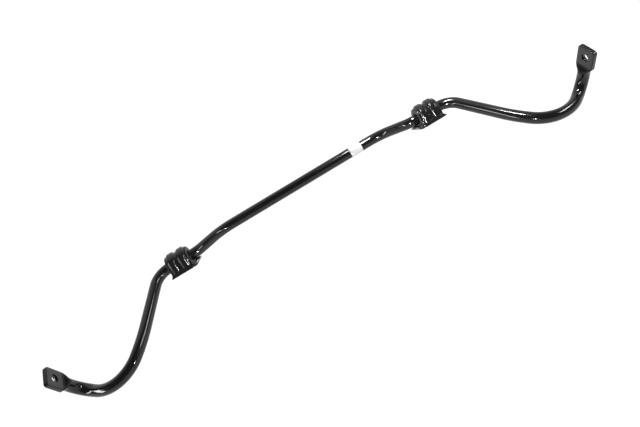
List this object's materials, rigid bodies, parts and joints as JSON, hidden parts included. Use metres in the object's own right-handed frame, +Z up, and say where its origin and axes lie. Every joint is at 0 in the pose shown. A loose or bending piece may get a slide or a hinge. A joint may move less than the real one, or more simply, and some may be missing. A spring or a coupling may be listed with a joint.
{
  "type": "sway bar",
  "caption": "Front sway bar of round steel with swept arms, flattened link eyes and rubber-lined saddle clamps that turn on it.",
  "frame": {"origin": "on the surface that the bar lies on, under the middle of its bounding box", "axes": "+X along the bar to the vehicle's one side, -Y towards the ends of the arms, +Z up; the clamps turn about an axis along X through y = 60.852 mm, z = 36.5 mm"},
  "size_m": [1.092, 0.249, 0.1022],
  "materials": {
    "bar_coating": "gloss black powder coat on spring steel",
    "bracket_coating": "semi-gloss black dip coat on pressed steel",
    "bush_rubber": "matte black moulded rubber",
    "label_film": null
  },
  "bodies": {
    "bar": {"stabiliser_bar": "bar_coating", "identification_label": "label_film"},
    "left_clamp": {"left_bushing": "bush_rubber", "left_saddle_bracket": "bracket_coating", "left_base_plate": "bracket_coating"},
    "right_clamp": {"right_bushing": "bush_rubber", "right_saddle_bracket": "bracket_coating", "right_base_plate": "bracket_coating"}
  },
  "joints": [
    {"name": "left_clamp_swivel", "type": "hinge", "parent": "bar", "child": "left_clamp", "pos_m": [-0.29, 0.06085, 0.0365], "axis": [1, 0, 0], "range_deg": [-30, 30]},
    {"name": "right_clamp_swivel", "type": "hinge", "parent": "bar", "child": "right_clamp", "pos_m": [0.29, 0.06085, 0.0365], "axis": [1, 0, 0], "range_deg": [-30, 30]}
  ]
}
